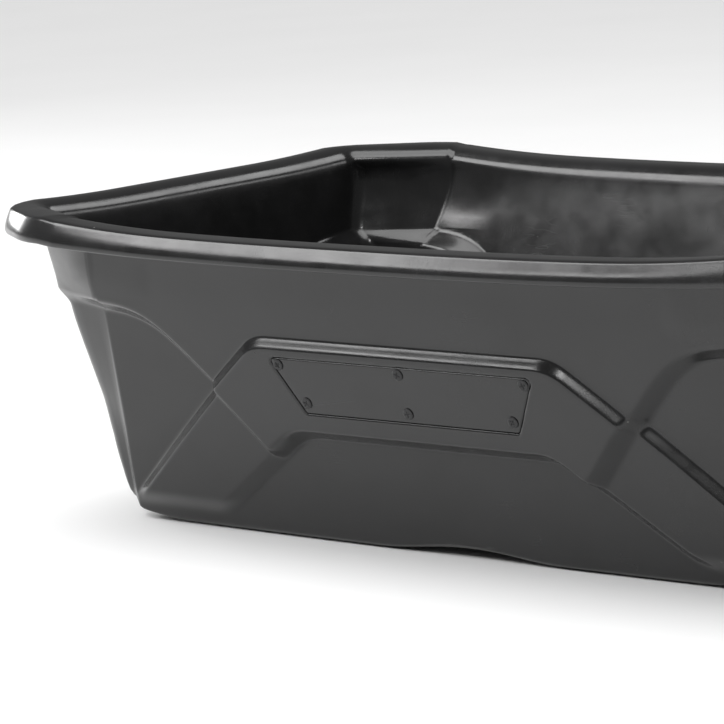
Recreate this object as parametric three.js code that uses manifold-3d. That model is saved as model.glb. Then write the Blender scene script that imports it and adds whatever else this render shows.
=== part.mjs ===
// Ice fishing sled: a one-piece moulded plastic tub with a rolled rim, a bridge-shaped raised band on each long wall,
// arched recesses round its four corners, two broad runners, a screwed-on blank badge plate on each long wall and two
// tow-rope eyelets in the raked front wall.
// Millimetres, +X to the front (the towed end), +Y to the far long side, +Z up. The sled stands on Z = 0 and the origin
// is under the middle of its overall box.
import * as THREE from "three";
import { mergeVertices } from "three/addons/utils/BufferGeometryUtils.js";
import Module from "manifold-3d";

// ---------------------------------------------------------------- driving dimensions
const REAR = 404; // badge centre line to the rear rim edge
const FRONT = 446; // badge centre line to the front rim edge
const HALF_W = 250; // centre plane to the rim edge at the corners
const BOW = 4; // how much further out the long rims are at mid-length
const KEEL_BOW = 5; // how much further out the runners' edges are at mid-length
const CH_X = 78.5; // corner chamfer at the rim, along X
const CH_Y = 50; // corner chamfer at the rim, along Y
const RIM_Z = 250.7; // outer top edge of the rim at the corners
const RIM_SAG = 7; // the long rims are lower than the corners by this at mid-length
const WALL = 4.2; // wall thickness, measured level
const FLOOR = 4; // floor thickness
const OVERHANG = 34; // rim edge to the long wall below it, level, 22 mm under the rim
const REAR_OVERHANG = 30.4; // rim edge to the rear wall
const FRONT_OVERHANG = 31; // rim edge to the front wall
const SIDE_TAN = 0.3085; // draft of the long walls
const REAR_TAN = 0.06; // draft of the rear wall
const FRONT_TAN = 0.5; // rake of the front wall
const BAND_H = 8; // how far the band stands out of the wall
const RECESS = 11; // depth of the corner arches and of the panel between the band's legs
const ARCH_Z = 184; // top of the arches
const CHANNEL_H = 6; // height of the channel between the runners
const CHANNEL_Y = 55; // half-width of the channel
const NOTCH_H = 7.5; // height of the arch in each runner's outer edge at mid-length
const CORNER_RISE = 2.6; // how much the rim rises towards its corners
const REAR_CUT = 5.3; // how much further out the corner cut stands at the rear, over the arch
const PLATE = { top: 125.5, bottom: 101.5, z0: 107.8, z1: 150.5, thick: 1.6, pocket: 2.5, gap: 0.6 };
const SCREWS = [
  [-117, 145.6],
  [0, 145.4],
  [117, 145.6],
  [-98.5, 116.3],
  [0, 115.2],
  [98.5, 116.3],
];
const SCREW = { headR: 4.6, headH: 0.9, shankR: 1.9, holeR: 2.2 };
const EYELET = { y: 85, z: 212, bore: 6.5, barrel: 9, hole: 9.4, flangeR: 15.5, flangeH: 1.8, washerH: 1.5 };

const SHIFT_X = -(FRONT - REAR) / 2; // from the badge centre line to the middle of the overall length

// ---------------------------------------------------------------- small helpers
const clamp = (v, a, b) => Math.min(b, Math.max(a, v));
const ramp = (x) => {
  const t = clamp(0.5 + 0.5 * x, 0, 1);
  return t * t * (3 - 2 * t);
};
// From 0 to 1 along a straight bevel that spans x = -1 to 1, with a small fillet at either end.
const facet = (x, f = 0.34) => {
  const a = Math.abs(x);
  const y = a < 1 - f ? a : a < 1 + f ? 1 - (1 + f - a) ** 2 / (4 * f) : 1;
  return 0.5 + 0.5 * Math.sign(x) * y;
};
const lerp = (a, b, t) => a + (b - a) * t;
const softMin = (a, b, k) => {
  const h = clamp(0.5 + (0.5 * (b - a)) / k, 0, 1);
  return lerp(b, a, h) - k * h * (1 - h);
};

// ---------------------------------------------------------------- the relief pressed into the walls, in level mm outwards
// Height of an arch's edge, s mm along the wall from the vertical corner.
const archZ = (s) => ARCH_Z - 0.565 * (s - 74 + Math.hypot(s - 74, 28));
const archIn = (at, z) => {
  const s = Math.max(at, 0);
  const slope = 0.565 * (1 + (s - 74) / Math.hypot(s - 74, 28));
  return facet((archZ(s) - z) / Math.hypot(1, slope) / 4.8);
};
const low = (z) => ramp((z - 19) / 9); // 0 near the bottom, where the whole wall lies at the recesses' level
function sideRelief(u, z) {
  const a = Math.abs(u);
  const outer = softMin(
    softMin(161.6 - z, -(0.575 * (a - 137.2) + 0.818 * (z - 165.4)), 8),
    -(0.631 * (a - 199.2) + 0.775 * (z - 121.8)),
    6,
  );
  const panel = facet(softMin(88.9 - z, -(0.564 * (a - 119.5) + 0.826 * (z - 91.7)), 8) / 4.4);
  const band = facet(outer / 4.2) * (1 - panel);
  const arch = archIn(327 - a, z) * (1 - panel);
  const relief = BAND_H * band - RECESS * (arch + panel);
  return lerp(-RECESS, relief, low(z));
}
const endRelief = (s, z) => -RECESS * lerp(1, archIn(s, z), low(z));

// ---------------------------------------------------------------- the profile rings
// Each ring has, for the long sides, the rear and the front, the distance in from the rim edge (d) and the height (z).
// relief says how much of the pressed relief it takes, sag how much of the rim's sag, inset and lift are the step from
// the outer skin to the inner one.
const sideD = (z) => OVERHANG + (228.7 - z) * SIDE_TAN;
const rearD = (z) => REAR_OVERHANG + (228.7 - z) * REAR_TAN;
const frontD = (z) => FRONT_OVERHANG + (RIM_Z - 16 - z) * FRONT_TAN;
const rings = [
  { side: [194, 0], rear: [163, 0], front: [270, 0], lift: FLOOR, inset: 0, spine: true },
  { side: [203, 0], rear: [153, 0], front: [262, 0], lift: FLOOR, inset: 0, radius: 8 },
  { side: [187, 0], rear: [140, 0], front: [254, 0], lift: FLOOR, inset: 0, radius: 14 },
  { side: [122, 0], rear: [93.6, 0], front: [234, 0], lift: FLOOR, inset: 0.6, radius: 40 },
  { side: [117.5, 1.3], rear: [72.6, 5], front: [179, 10], lift: 3.5, inset: 2, radius: 36 },
  { side: [114.5, 4.5], rear: [60, 16], front: [149, 30], lift: 2.2, inset: 3.4, radius: 32 },
];
const wallZ = [9.5, 25, 41, 56, 71, 84, 94, 111, 128, 143, 157, 166, 175, 188];
for (const z of wallZ) {
  const t = (z - wallZ[0]) / (wallZ[wallZ.length - 1] - wallZ[0]);
  const zr = lerp(34, 188, t),
    zf = lerp(60, 188, t);
  rings.push({
    side: [sideD(z), z],
    rear: [rearD(zr), zr],
    front: [frontD(zf), zf],
    lift: 0.8 * (1 - ramp((z - 16) / 8)),
    inset: WALL,
    relief: true,
    fine: true,
    radius: 16 + 12 * (1 - ramp((z - 30) / 30)),
  });
}
// the top of the wall, just under the flange, follows the rim's sag within the wall's own plane
rings.push({
  side: [sideD(RIM_Z - 16), RIM_Z - 16],
  rear: [rearD(RIM_Z - 16), RIM_Z - 16],
  front: [frontD(RIM_Z - 16), RIM_Z - 16],
  lift: 0,
  inset: WALL,
  sag: 1,
  wall: true,
  radius: 18,
});
// The rim's under side and upper side: distance in from its edge on the long sides, the rear and the front, then its
// height over RIM_Z on the long sides and at the ends. The outer face leans in, with a lip at its foot.
const UNDER = [
  [31, 27.5, 28.5, -9.4, -9.4],
  [26, 22.5, 24, -5.2, -5.2],
  [11, 11, 11, -4.3, -4],
  [8.4, 8.4, 8.4, -6.4, -6.4],
  [4.5, 4.5, 4.5, -15.8, -15.8],
];
const OVER = [
  [3.2, 3.2, 3.2, -17.2, -17.2],
  [1, 1, 1, -16.8, -16.8],
  [0, 0, 0, -14.6, -14.6],
  [3.9, 3.9, 3.9, -3.2, -2.8],
  [5.2, 5.2, 5.2, -0.8, -0.3],
  [7.6, 7.6, 7.6, 0.2, 0.9],
  [16, 14.5, 15, 0.5, 1.7],
  [22, 19.5, 20.5, 0.4, 1.5],
  [27.5, 24.5, 25.5, -0.7, -0.3],
  [32.5, 29.3, 30, -3.8, -3.4],
  [36, 33, 33.4, -8.8, -8.8],
];

// The corners. On the rim they are cut by CH_X and CH_Y, which run over to the wall's own cut. On the walls the cut is a
// plane with the normal CUT_N, at the distance cutC(z) from the badge centre line's foot.
const CUT_N = [0.42, 0.9075];
const CUT = [
  [0, 233],
  [3, 245],
  [10, 257],
  [22, 269],
  [36, 276],
  [64, 281.5],
  [93, 286],
  [112, 292.3],
  [145, 303.9],
  [165, 309.9],
  [176, 311.8],
  [190, 312.2],
  [197, 312.8],
  [210, 315],
  [235, 320.3],
];
function cutC(z) {
  let i = 1;
  while (i < CUT.length - 1 && z > CUT[i][0]) i++;
  const [z0, c0] = CUT[i - 1],
    [z1, c1] = CUT[i];
  return lerp(c0, c1, clamp((z - z0) / (z1 - z0), 0, 1));
}
const SIDE_N = 38,
  END_N = 12; // segments along a long side and along an end

// One corner of a ring, rounded: three points between the two tangents.
function cornerPoints(v, before, after, r) {
  const a = before.clone().sub(v),
    b = after.clone().sub(v);
  const la = a.length(),
    lb = b.length();
  a.normalize();
  b.normalize();
  const half = Math.acos(clamp(-a.dot(b), -1, 1)) / 2; // half the turn
  const t = Math.min(r * Math.tan(half), 0.48 * la, 0.48 * lb);
  const w = Math.cos(half);
  return [0, 0.5, 1].map((k) => {
    const wa = (1 - k) * (1 - k),
      wv = 2 * k * (1 - k) * w,
      wb = k * k;
    const pa = v.clone().addScaledVector(a, t),
      pb = v.clone().addScaledVector(b, t);
    return pa
      .multiplyScalar(wa)
      .addScaledVector(v, wv)
      .addScaledVector(pb, wb)
      .divideScalar(wa + wv + wb);
  });
}

// The near half of a ring, from the middle of the rear to the middle of the front, with the relief.
// kind: 0 rear, 1 rear corner, 2 long side, 3 front corner, 4 front
function halfRing(r) {
  const [ds, zs] = r.side,
    [dr, zr] = r.rear,
    [df, zf] = r.front;
  const inCorner = (z) => (r.relief ? endRelief(0, z) : 0);
  const y = HALF_W - ds,
    yc = y + inCorner(zs),
    xr = REAR - dr,
    xf = FRONT - df;
  const xrc = xr + inCorner(zr),
    xfc = xf + inCorner(zf);
  let cx, cy;
  if (r.rim) {
    const t = clamp(ds / 34, 0, 1);
    cx = lerp(CH_X, 77, t);
    cy = lerp(CH_Y, 38.5, t);
  } else {
    // on the long side the cut's edge runs straight down the wall, at the rear it stands further out over the arch
    const zc = (zs + zr) / 2,
      c = cutC(zc);
    let edge = (c - CUT_N[1] * yc) / CUT_N[0];
    if (r.relief) edge = softMin(edge, 302.4 + 0.19 * (190 - zc), 8);
    cx = xrc - edge;
    cy = yc - (c + (r.bottom ? 0 : REAR_CUT * ramp((zc - 186) / 8)) - CUT_N[0] * xrc) / CUT_N[1];
    if (r.relief) [cx, cy] = [Math.max(cx, 4), -softMin(-cy, -3, 2)];
    else if (cx < 4 || cy < 2.5) [cx, cy] = [5.2, 2.5];
    if (y < 120) [cx, cy] = [6, 6];
  }
  const V = (a, b) => new THREE.Vector2(a, b);
  const mid0 = V(-xrc, 0),
    v2 = V(-xrc, -(yc - cy)),
    v1 = V(-(xrc - cx), -yc),
    v8 = V(xfc - cx, -yc),
    v7 = V(xfc, -(yc - cy)),
    mid1 = V(xfc, 0);
  const radius = r.radius ?? 26,
    sideRadius = r.sideRadius ?? radius;
  const c2 = cornerPoints(v2, mid0, v1, radius),
    c1 = cornerPoints(v1, v2, v8, sideRadius),
    c8 = cornerPoints(v8, v1, v7, sideRadius),
    c7 = cornerPoints(v7, v8, mid1, radius);
  const zrc = (zs + zr) / 2,
    zfc = (zs + zf) / 2;
  const out = [];
  // away is the distance from the corner, as a share of the length over which the rim sinks from it
  const add = (p, nx, ny, z, kind, keep, away = 0) => {
    const l = Math.hypot(nx, ny);
    const up = (r.rise ?? 0) * (1 - clamp(away, 0, 1)) ** 2;
    out.push({ x: p.x, y: p.y, z: z + up, nx: nx / l, ny: ny / l, kind, keep });
  };
  const chR = [-cy, -cx],
    chF = [cy, -cx];
  for (let i = 0; i < END_N / 2; i++) {
    const t = i / (END_N / 2);
    const py = lerp(0, c2[0].y, t);
    const relief = r.relief ? endRelief(c2[0].y === 0 ? 0 : yc - cy + py, zr) : 0;
    add(V(-(xr + relief), py), -1, 0, zr, 0, i % 2 === 0, (py - c2[0].y) / 95);
  }
  const blend = (pts, n0, n1, z0, z1, k0, k1) =>
    pts.forEach((p, i) =>
      add(p, lerp(n0[0], n1[0], i / 2), lerp(n0[1], n1[1], i / 2), lerp(z0, z1, i / 2), i < 1 ? k0 : k1, true),
    );
  const unit = (n) => n.map((v) => v / Math.hypot(...n));
  blend(c2, [-1, 0], unit(chR), zr, zrc, 0, 1);
  add(c2[2].clone().lerp(c1[0], 0.5), ...chR, zrc, 1, false);
  blend(c1, unit(chR), [0, -1], zrc, zs, 1, 2);
  for (let i = 1; i < SIDE_N; i++) {
    const t = i / SIDE_N;
    const x = lerp(c1[2].x, c8[0].x, t);
    const s = clamp((x - 11) / 350, -1, 1);
    const bow = BOW * clamp(1 - ds / 34, 0, 1) + KEEL_BOW * clamp((ds - 77) / 37, 0, 1);
    const relief = r.relief ? sideRelief(x, zs) : 0;
    const away = Math.min(x - c1[2].x, c8[0].x - x) / 115;
    add(V(x, -(y + relief) - bow * (1 - s * s)), 0, -1, zs, 2, i % 2 === 0, away);
  }
  blend(c8, [0, -1], unit(chF), zs, zfc, 2, 3);
  add(c8[2].clone().lerp(c7[0], 0.5), ...chF, zfc, 3, false);
  blend(c7, unit(chF), [1, 0], zfc, zf, 3, 4);
  for (let i = 1; i <= END_N / 2; i++) {
    const t = i / (END_N / 2);
    const py = lerp(c7[2].y, 0, t);
    const relief = r.relief ? endRelief(yc - cy + py, zf) : 0;
    add(V(xf + relief, py), 1, 0, zf, 4, i % 2 === 0, (py - c7[2].y) / 95);
  }
  for (const p of out) {
    if (r.spine) p.y = 0;
    const side = p.kind === 2 ? Math.min(1, (Math.abs(p.x - 10) / 335) ** 3) : 1;
    const drop = RIM_SAG * (1 - side) * (r.sag ?? 0);
    p.z -= drop;
    if (r.wall) p.y += drop * SIDE_TAN;
    if (r.bottom) {
      // the channel between the runners, and the arch in each runner's edge at mid-length
      const channel = CHANNEL_H * ramp((CHANNEL_Y - Math.abs(p.y)) / 8);
      const n = clamp((p.x - 8) / 85, -1, 1);
      const notch = p.kind === 2 ? NOTCH_H * (1 - n * n) ** 2 : 0;
      p.z += Math.max(channel, notch) * r.bottom * (1 - clamp(p.z / 34, 0, 1));
    }
    p.x -= p.nx * (r.in ?? 0);
    p.y -= p.ny * (r.in ?? 0);
    p.z += r.up ?? 0;
    if (r.spine) p.y = 0;
  }
  return out;
}

// The whole sheet, from the middle of the underside out, up the walls, round the rim and back down the inside.
const sheet = [];
const rimRing = ([ds, dr, df, z, ze]) => ({
  side: [ds, RIM_Z + z],
  rear: [dr, RIM_Z + ze],
  front: [df, RIM_Z + ze],
  sag: 1,
  rim: true,
  rise: CORNER_RISE * clamp((z + 15) / 8, 0, 1),
  radius: 54 - 1.25 * ds,
  sideRadius: 90 - 2.2 * ds,
});
const bottomOf = (i) => (i < 4 ? 1 : i < 6 ? 0.8 : 0);
rings.forEach((r, i) => {
  sheet.push({ ...r, bottom: bottomOf(i) });
});
for (const u of UNDER) sheet.push(rimRing(u));
for (const o of OVER) sheet.push(rimRing(o));
for (let i = rings.length - 1; i >= 0; i--) {
  const r = rings[i];
  sheet.push({ ...r, bottom: bottomOf(i), in: r.inset, up: r.lift });
}

function hullGeometry() {
  const loops = sheet.map((r) => {
    const half = halfRing(r);
    const far = half
      .slice(1, -1)
      .reverse()
      .map((p) => ({ ...p, y: -p.y }));
    return half.concat(far);
  });
  const n = loops[0].length;
  const tris = [];
  const put = (a, b, c) => {
    for (const p of [a, b, c]) tris.push(p.x + SHIFT_X, p.y, p.z);
  };
  for (let j = 0; j + 1 < loops.length; j++) {
    const A = loops[j],
      B = loops[j + 1],
      fineA = sheet[j].fine,
      fineB = sheet[j + 1].fine;
    for (let i = 0; i < n; ) {
      let k = i + 1;
      if (!(fineA && fineB)) while (k < n && !A[k].keep) k++;
      // a fine ring keeps each of its points, a coarse one only those it keeps
      const lowers = [],
        uppers = [];
      for (let m = i; m <= k; m++) {
        if (m === i || m === k || fineA) lowers.push(A[m % n]);
        if (m === i || m === k || fineB) uppers.push(B[m % n]);
      }
      for (let m = 0; m + 1 < lowers.length; m++) put(lowers[m], lowers[m + 1], uppers[0]);
      const last = lowers[lowers.length - 1];
      for (let m = 0; m + 1 < uppers.length; m++) put(last, uppers[m + 1], uppers[m]);
      i = k;
    }
  }
  return new THREE.BufferGeometry().setAttribute("position", new THREE.Float32BufferAttribute(tris, 3));
}

// ---------------------------------------------------------------- solids: joining and cutting
const wasm = await Module();
wasm.setup();
function toSolid(geometry) {
  const g = geometry.index ? geometry.toNonIndexed() : geometry.clone();
  const bare = new THREE.BufferGeometry().setAttribute("position", g.getAttribute("position"));
  const merged = mergeVertices(bare, 1e-3);
  const idx = merged.index.array,
    keep = [];
  for (let i = 0; i < idx.length; i += 3)
    if (idx[i] !== idx[i + 1] && idx[i + 1] !== idx[i + 2] && idx[i] !== idx[i + 2])
      keep.push(idx[i], idx[i + 1], idx[i + 2]);
  return new wasm.Manifold(
    new wasm.Mesh({ numProp: 3, vertProperties: merged.attributes.position.array, triVerts: new Uint32Array(keep) }),
  );
}
function toGeometry(solid) {
  const m = solid.getMesh(),
    k = m.numProp,
    v = new Float32Array(m.numVert * 3);
  for (let i = 0; i < m.numVert; i++) v.set(m.vertProperties.subarray(i * k, i * k + 3), i * 3);
  const g = new THREE.BufferGeometry().setAttribute("position", new THREE.BufferAttribute(v, 3));
  g.setIndex(new THREE.BufferAttribute(new Uint32Array(m.triVerts), 1));
  g.computeVertexNormals();
  return g;
}
const moved = (g, m) => g.clone().applyMatrix4(m);

// A frame on the band's face of a long wall: local X along the wall, local Y up the wall, local Z out of it.
const A_SIDE = Math.atan(SIDE_TAN);
function faceFrame(u, z, sign) {
  const y = -(HALF_W - sideD(z) + BAND_H);
  const out = new THREE.Vector3(0, -Math.cos(A_SIDE), -Math.sin(A_SIDE)),
    up = new THREE.Vector3(0, -Math.sin(A_SIDE), Math.cos(A_SIDE)),
    along = new THREE.Vector3(1, 0, 0);
  const m = new THREE.Matrix4().makeBasis(along, up, out).setPosition(u + SHIFT_X, y, z);
  if (sign > 0) m.premultiply(new THREE.Matrix4().makeRotationZ(Math.PI).setPosition(2 * SHIFT_X, 0, 0));
  return m;
}
const PLATE_Z = (PLATE.z0 + PLATE.z1) / 2;
const PLATE_HALF = (PLATE.z1 - PLATE.z0) / 2 / Math.cos(A_SIDE);
function plateOutline(grow, corner) {
  const slope = (PLATE.top - PLATE.bottom) / (2 * PLATE_HALF),
    side = grow * Math.hypot(1, slope);
  const h = PLATE_HALF + grow;
  const t = PLATE.top + side + grow * slope,
    b = PLATE.bottom + side - grow * slope;
  const pts = [
    [-b, -h],
    [b, -h],
    [t, h],
    [-t, h],
  ].map((p) => new THREE.Vector2(...p));
  const s = new THREE.Shape();
  pts.forEach((p, i) => {
    const q = pts[(i + 3) % 4],
      n = pts[(i + 1) % 4];
    const a = p.clone().add(q.clone().sub(p).setLength(corner)),
      c = p.clone().add(n.clone().sub(p).setLength(corner));
    if (i) s.lineTo(a.x, a.y);
    else s.moveTo(a.x, a.y);
    s.quadraticCurveTo(p.x, p.y, c.x, c.y);
  });
  s.closePath();
  return s;
}
const onPlate = ([u, z]) => [u, (z - PLATE_Z) / Math.cos(A_SIDE)];
const drill = (r, z0, z1, n = 14) =>
  new THREE.CylinderGeometry(r, r, z1 - z0, n).rotateX(Math.PI / 2).translate(0, 0, (z0 + z1) / 2);

const plateGeometry = (() => {
  const bevel = 0.5;
  const slab = new THREE.ExtrudeGeometry(plateOutline(-bevel, 3), {
    depth: PLATE.thick - bevel,
    bevelEnabled: true,
    bevelThickness: bevel,
    bevelSize: bevel,
    bevelSegments: 1,
    curveSegments: 3,
  });
  // the bevel at the back is cut off so that the plate lies flat in its pocket
  slab.translate(0, 0, -PLATE.pocket + 0.3);
  let solid = toSolid(slab);
  const back = toSolid(new THREE.BoxGeometry(400, 200, 4).translate(0, 0, -PLATE.pocket + 0.3 - 2));
  solid = solid.subtract(back);
  for (const s of SCREWS) {
    const [x, y] = onPlate(s);
    solid = solid.subtract(toSolid(drill(SCREW.holeR, -5, 5).translate(x, y, 0)));
  }
  return toGeometry(solid);
})();
const PLATE_FACE = -PLATE.pocket + 0.3 + PLATE.thick; // the plate's outer face, out from the band's face

// A pan-head screw: its head stands on the plate, its shank goes through plate and wall and ends flush inside.
const screwGeometry = (() => {
  const z0 = PLATE_FACE + 0.15,
    r = SCREW.headR,
    h = SCREW.headH;
  const profile = [
    [0, -PLATE.pocket - 3.9],
    [SCREW.shankR - 0.5, -PLATE.pocket - 3.9],
    [SCREW.shankR, -PLATE.pocket - 3.3],
    [SCREW.shankR, z0],
    [r, z0],
    [r, z0 + 0.45 * h],
    [r * 0.9, z0 + 0.8 * h],
    [r * 0.7, z0 + h],
    [0, z0 + h],
  ].map((p) => new THREE.Vector2(...p));
  const body = toSolid(new THREE.LatheGeometry(profile, 16).rotateX(Math.PI / 2).scale(1, 1, 1));
  const bar = (w) => toSolid(new THREE.BoxGeometry(w, 1.1, 1.6).rotateZ(0.5).translate(0, 0, z0 + h));
  const bar2 = toSolid(new THREE.BoxGeometry(1.1, 4.8, 1.6).rotateZ(0.5).translate(0, 0, z0 + h));
  return toGeometry(body.subtract(bar(4.8)).subtract(bar2));
})();

// The tow eyelets: local Z is out of the front wall.
const A_FRONT = Math.atan(FRONT_TAN);
function towFrame(y) {
  const x = FRONT - frontD(EYELET.z);
  const out = new THREE.Vector3(Math.cos(A_FRONT), 0, -Math.sin(A_FRONT)),
    up = new THREE.Vector3(Math.sin(A_FRONT), 0, Math.cos(A_FRONT)),
    along = new THREE.Vector3(0, 1, 0);
  return new THREE.Matrix4().makeBasis(along, up, out).setPosition(x + SHIFT_X, y, EYELET.z);
}
const FRONT_WALL = WALL * Math.cos(A_FRONT); // the front wall's true thickness
const lathe = (pts, n = 28) => new THREE.LatheGeometry([...pts, pts[0]].map((p) => new THREE.Vector2(...p)), n).rotateX(Math.PI / 2);
const eyeletGeometry = (() => {
  const e = EYELET,
    g = 0.3;
  return lathe([
    [e.bore, -FRONT_WALL - g - e.washerH - 0.6],
    [e.barrel, -FRONT_WALL - g - e.washerH - 0.6],
    [e.barrel, g],
    [e.flangeR, g],
    [e.flangeR, g + 0.6],
    [e.flangeR - 1.2, g + e.flangeH],
    [e.bore + 1.2, g + e.flangeH],
    [e.bore, g + e.flangeH - 1],
  ]);
})();
const washerGeometry = (() => {
  const e = EYELET,
    z = -FRONT_WALL - 0.3;
  return lathe([
    [e.barrel + 0.3, z - e.washerH],
    [e.flangeR - 1.4, z - e.washerH],
    [e.flangeR - 0.8, z - e.washerH + 0.4],
    [e.flangeR - 0.8, z],
    [e.barrel + 0.3, z],
  ]);
})();

// ---------------------------------------------------------------- the hull, with its pockets and holes
let hull = toSolid(hullGeometry());
for (const sign of [-1, 1]) {
  const m = faceFrame(0, PLATE_Z, sign);
  const pocket = new THREE.ExtrudeGeometry(plateOutline(PLATE.gap, 3.5), {
    depth: 12,
    bevelEnabled: false,
    curveSegments: 3,
  }).translate(0, 0, -PLATE.pocket);
  hull = hull.subtract(toSolid(moved(pocket, m)));
  for (const s of SCREWS) {
    const [x, y] = onPlate(s);
    hull = hull.subtract(toSolid(moved(drill(SCREW.holeR, -12, 6).translate(x, y, 0), m)));
  }
}
for (const y of [-EYELET.y, EYELET.y]) hull = hull.subtract(toSolid(moved(drill(EYELET.hole, -14, 14, 28), towFrame(y))));

// ---------------------------------------------------------------- the group
const part = new THREE.Group();
const material = (color, roughness, metalness) => new THREE.MeshStandardMaterial({ color, roughness, metalness });
function addMesh(name, geometry, mat, matrix) {
  const mesh = new THREE.Mesh(geometry, mat);
  mesh.name = name;
  if (matrix) {
    mesh.applyMatrix4(matrix);
    mesh.updateMatrix();
  }
  part.add(mesh);
}
addMesh("hull", toGeometry(hull), material(0x2c2d2e, 0.42, 0));
for (const [side, sign] of [
  ["near", -1],
  ["far", 1],
]) {
  const m = faceFrame(0, PLATE_Z, sign);
  addMesh(`badge_plate_${side}`, plateGeometry, material(0x2e2f30, 0.38, 0), m);
  SCREWS.forEach((s, i) => {
    const [x, y] = onPlate(s);
    const place = m.clone().multiply(new THREE.Matrix4().makeTranslation(x, y, 0));
    addMesh(`plate_screw_${side}_${i + 1}`, screwGeometry, material(0x343536, 0.35, 0.6), place);
  });
}
for (const [side, y] of [
  ["near", -EYELET.y],
  ["far", EYELET.y],
]) {
  addMesh(`tow_eyelet_${side}`, eyeletGeometry, material(0x9a9c9e, 0.35, 1), towFrame(y));
  addMesh(`eyelet_washer_${side}`, washerGeometry, material(0x8f9194, 0.4, 1), towFrame(y));
}

export default part;
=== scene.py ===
"""Ice fishing sled: the fine surface of the moulded tub, its blank plates, screws and tow eyelets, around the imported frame."""

import math

import bmesh
import bpy
import numpy as np
from mathutils import Matrix, Vector


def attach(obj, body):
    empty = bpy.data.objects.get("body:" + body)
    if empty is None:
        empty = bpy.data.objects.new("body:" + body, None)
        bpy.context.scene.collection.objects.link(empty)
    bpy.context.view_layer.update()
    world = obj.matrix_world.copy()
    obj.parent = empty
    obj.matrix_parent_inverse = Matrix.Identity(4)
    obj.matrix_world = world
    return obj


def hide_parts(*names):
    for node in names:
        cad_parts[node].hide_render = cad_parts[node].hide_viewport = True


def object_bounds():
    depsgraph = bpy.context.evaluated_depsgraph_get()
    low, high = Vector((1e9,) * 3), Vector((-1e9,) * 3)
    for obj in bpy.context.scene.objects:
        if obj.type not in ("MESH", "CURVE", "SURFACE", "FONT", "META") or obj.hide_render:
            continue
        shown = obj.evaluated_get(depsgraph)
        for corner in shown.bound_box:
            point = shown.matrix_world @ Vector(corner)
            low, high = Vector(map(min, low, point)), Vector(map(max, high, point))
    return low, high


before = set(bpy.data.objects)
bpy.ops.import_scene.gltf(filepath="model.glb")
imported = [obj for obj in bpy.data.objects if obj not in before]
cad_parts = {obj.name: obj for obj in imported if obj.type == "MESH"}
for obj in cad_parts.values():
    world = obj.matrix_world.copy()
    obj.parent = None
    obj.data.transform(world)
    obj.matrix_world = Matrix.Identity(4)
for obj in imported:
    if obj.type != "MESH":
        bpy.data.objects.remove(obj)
CAD_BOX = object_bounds()
MM = 0.001

# ---------------------------------------------------------------- driving dimensions, in millimetres
REAR, FRONT, HALF_W = 404.0, 446.0, 250.0
BOW, KEEL_BOW = 4.0, 5.0
CH_X, CH_Y = 78.5, 50.0
RIM_Z, RIM_SAG = 250.7, 7.0
WALL, FLOOR = 4.2, 4.0
OVERHANG, REAR_OVERHANG, FRONT_OVERHANG = 34.0, 30.4, 31.0
SIDE_TAN, REAR_TAN, FRONT_TAN = 0.3085, 0.06, 0.5
BAND_H, RECESS, ARCH_Z = 8.0, 11.0, 184.0
CHANNEL_H, CHANNEL_Y, NOTCH_H = 6.0, 55.0, 7.5
SHIFT_X = -(FRONT - REAR) / 2
CORNER_RISE, REAR_CUT = 2.6, 5.3
PLATE = dict(top=125.5, bottom=101.5, z0=107.8, z1=150.5, thick=1.6, pocket=2.5, gap=0.6)
SCREWS = [(-117, 145.6), (0, 145.4), (117, 145.6), (-98.5, 116.3), (0, 115.2), (98.5, 116.3)]
SCREW = dict(headR=4.6, headH=0.9, shankR=1.9, holeR=2.2)
EYELET = dict(y=85.0, z=212.0, bore=6.5, barrel=9.0, hole=9.4, flangeR=15.5, flangeH=1.8, washerH=1.5)
CUT_N = (0.42, 0.9075)
CUT = np.array(
    [
        [0, 233],
        [3, 245],
        [10, 257],
        [22, 269],
        [36, 276],
        [64, 281.5],
        [93, 286],
        [112, 292.3],
        [145, 303.9],
        [165, 309.9],
        [176, 311.8],
        [190, 312.2],
        [197, 312.8],
        [210, 315],
        [235, 320.3],
    ]
)


# ---------------------------------------------------------------- small helpers
def ramp(x):
    t = np.clip(0.5 + 0.5 * np.asarray(x, float), 0, 1)
    return t * t * (3 - 2 * t)


def facet(x, f=0.34):
    """From 0 to 1 along a straight bevel that spans x = -1 to 1, with a small fillet at either end."""
    a = np.abs(np.asarray(x, float))
    y = np.where(a < 1 - f, a, np.where(a < 1 + f, 1 - (1 + f - a) ** 2 / (4 * f), 1.0))
    return 0.5 + 0.5 * np.sign(x) * y


def lerp(a, b, t):
    return a + (b - a) * t


def soft_min(a, b, k):
    h = np.clip(0.5 + 0.5 * (b - a) / k, 0, 1)
    return b + (a - b) * h - k * h * (1 - h)


def pchip_slopes(s, p):
    """Slopes of a curve through p that never overshoots, with the parameter s."""
    h = np.diff(s).reshape((-1,) + (1,) * (p.ndim - 1))
    d = np.diff(p, axis=0) / h
    m = np.zeros_like(p)
    w1, w2 = 2 * h[1:] + h[:-1], h[1:] + 2 * h[:-1]
    same = d[:-1] * d[1:] > 0
    safe0, safe1 = np.where(same, d[:-1], 1.0), np.where(same, d[1:], 1.0)
    m[1:-1] = np.where(same, (w1 + w2) / (w1 / safe0 + w2 / safe1), 0.0)
    m[0], m[-1] = d[0], d[-1]
    return m


def hermite(s, p, m, i, t):
    h = s[i + 1] - s[i]
    a, b = 2 * t**3 - 3 * t**2 + 1, t**3 - 2 * t**2 + t
    c, d = -2 * t**3 + 3 * t**2, t**3 - t**2
    return a * p[i] + b * h * m[i] + c * p[i + 1] + d * h * m[i + 1]


CUT_M = pchip_slopes(CUT[:, 0], CUT[:, 1])


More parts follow.
